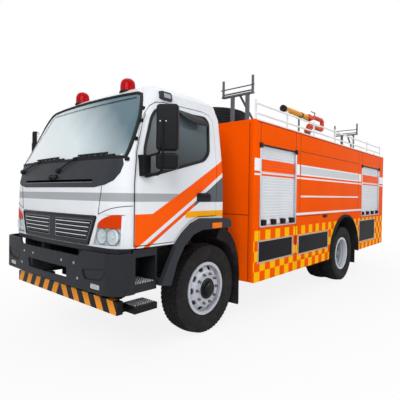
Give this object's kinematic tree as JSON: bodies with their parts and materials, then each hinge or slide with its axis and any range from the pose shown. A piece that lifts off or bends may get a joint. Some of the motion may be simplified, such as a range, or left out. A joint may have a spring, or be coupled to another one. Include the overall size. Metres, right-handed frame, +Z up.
{
  "type": "cab-over fire truck",
  "caption": "Cab-over fire truck with tilting cab, hinged doors, steered front wheels, twin rear wheels, roller-shutter equipment body, drop-down lockers and a roof water monitor.",
  "frame": {"origin": "on the ground at the middle of the vehicle's length and width", "axes": "+X forward, +Y to the vehicle's left, +Z up"},
  "size_m": [7.7298, 2.7384, 3.55],
  "materials": {
    "white_paint": "gloss",
    "orange_paint": "gloss",
    "stripe_paint": "gloss",
    "sheet_metal": "satin",
    "shutter_aluminium": "brushed",
    "rail_white": "satin",
    "window_glass": "clear",
    "charcoal_plastic": "grained",
    "rubber_guard": "matte",
    "seat_cloth": "woven",
    "floor_steel": "satin",
    "lamp_clear": "clear lens",
    "lamp_red": "lens",
    "dark_panel": "gloss",
    "chassis_steel": "satin",
    "engine_iron": "rough",
    "gantry_steel": "satin",
    "monitor_red": "gloss",
    "monitor_yellow": "gloss",
    "wheel_silver": "satin",
    "tyre_rubber": "matte"
  },
  "bodies": {
    "chassis": {"body_floor": "sheet_metal", "body_front": "orange_paint", "body_rear": "orange_paint", "body_side_left": "orange_paint", "body_side_right": "orange_paint", "engine_gearbox": "engine_iron", "front_axle": "chassis_steel", "front_bumper": "charcoal_plastic", "front_guard_bar": "stripe_paint", "ladder_frame": "chassis_steel", "ladder_gantries": "gantry_steel", "leaf_springs": "chassis_steel", "monitor_supports": "gantry_steel", "mudguards": "rubber_guard", "propeller_shaft": "chassis_steel", "rear_axle": "chassis_steel", "rear_ladder": "sheet_metal", "roller_shutters": "shutter_aluminium", "roof_deck": "sheet_metal", "roof_rails": "rail_white", "skirt_plates": "dark_panel", "spare_rim": "wheel_silver", "spare_tyre": "tyre_rubber", "step_wells": "charcoal_plastic", "tail_lamps": "lamp_red"},
    "cab": {"cab_front": "white_paint", "cab_rear": "white_paint", "cab_roof": "white_paint", "cab_floor": "floor_steel", "cab_glass": "window_glass", "front_grille": "charcoal_plastic", "head_lamps": "lamp_clear", "cowl_panel": "charcoal_plastic", "cab_flares": "charcoal_plastic", "beacons": "lamp_red", "seats": "seat_cloth", "dashboard": "charcoal_plastic"},
    "door_left": {"door_left": "white_paint", "door_glass_left": "window_glass", "mirror_left": "charcoal_plastic"},
    "door_right": {"door_right": "white_paint", "door_glass_right": "window_glass", "mirror_right": "charcoal_plastic"},
    "knuckle_left": {"knuckle_left": "chassis_steel"},
    "knuckle_right": {"knuckle_right": "chassis_steel"},
    "tie_rod": {"tie_rod": "chassis_steel"},
    "front_wheel_left": {"front_tyre_left": "tyre_rubber", "front_rim_left": "wheel_silver"},
    "front_wheel_right": {"front_tyre_right": "tyre_rubber", "front_rim_right": "wheel_silver"},
    "rear_wheels_left": {"rear_tyres_left": "tyre_rubber", "rear_rims_left": "wheel_silver"},
    "rear_wheels_right": {"rear_tyres_right": "tyre_rubber", "rear_rims_right": "wheel_silver"},
    "monitor_turret": {"monitor_turret": "monitor_red"},
    "monitor_barrel": {"monitor_barrel": "monitor_yellow"},
    "locker_flap_left": {"locker_flap_left": "orange_paint"},
    "locker_flap_right": {"locker_flap_right": "orange_paint"}
  },
  "joints": [
    {"name": "cab_tilt", "type": "hinge", "parent": "chassis", "child": "cab", "pos_m": [3.685, 0, 1.06], "axis": [0, 1, 0], "range_deg": [0, 45]},
    {"name": "door_left_hinge", "type": "hinge", "parent": "cab", "child": "door_left", "pos_m": [3.59, 1.08, 1.3], "axis": [0, 0, -1], "range_deg": [0, 70]},
    {"name": "door_right_hinge", "type": "hinge", "parent": "cab", "child": "door_right", "pos_m": [3.59, -1.08, 1.3], "axis": [0, 0, 1], "range_deg": [0, 70]},
    {"name": "steer_left", "type": "hinge", "parent": "chassis", "child": "knuckle_left", "pos_m": [2.455, 0.8, 0.509], "axis": [0, 0, 1], "range_deg": [-35, 35]},
    {"name": "steer_right", "type": "hinge", "parent": "chassis", "child": "knuckle_right", "pos_m": [2.455, -0.8, 0.509], "axis": [0, 0, 1], "range_deg": [-35, 35]},
    {"name": "tie_rod_swing", "type": "hinge", "parent": "knuckle_left", "child": "tie_rod", "pos_m": [2.275, 0.8, 0.456], "axis": [0, 0, 1], "range_deg": [-35, 35]},
    {"name": "front_spin_left", "type": "hinge", "parent": "knuckle_left", "child": "front_wheel_left", "pos_m": [2.455, 0.86, 0.509], "axis": [0, 1, 0], "continuous": true},
    {"name": "front_spin_right", "type": "hinge", "parent": "knuckle_right", "child": "front_wheel_right", "pos_m": [2.455, -0.86, 0.509], "axis": [0, 1, 0], "continuous": true},
    {"name": "rear_spin_left", "type": "hinge", "parent": "chassis", "child": "rear_wheels_left", "pos_m": [-1.305, 0.903, 0.509], "axis": [0, 1, 0], "continuous": true},
    {"name": "rear_spin_right", "type": "hinge", "parent": "chassis", "child": "rear_wheels_right", "pos_m": [-1.305, -0.903, 0.509], "axis": [0, 1, 0], "continuous": true},
    {"name": "monitor_swivel", "type": "hinge", "parent": "chassis", "child": "monitor_turret", "pos_m": [-2.245, 0, 3.1], "axis": [0, 0, 1], "range_deg": [-160, 160]},
    {"name": "monitor_lift", "type": "hinge", "parent": "monitor_turret", "child": "monitor_barrel", "pos_m": [-2.185, 0, 3.37], "axis": [0, -1, 0], "range_deg": [0, 75]},
    {"name": "flap_left_hinge", "type": "hinge", "parent": "chassis", "child": "locker_flap_left", "pos_m": [0.079, 1.201, 0.645], "axis": [-1, 0, 0], "range_deg": [0, 90]},
    {"name": "flap_right_hinge", "type": "hinge", "parent": "chassis", "child": "locker_flap_right", "pos_m": [0.079, -1.201, 0.645], "axis": [1, 0, 0], "range_deg": [0, 90]}
  ],
  "couplings": [
    {"joint": "steer_right", "follows": "steer_left", "ratio": 1},
    {"joint": "tie_rod_swing", "follows": "steer_left", "ratio": -1}
  ]
}
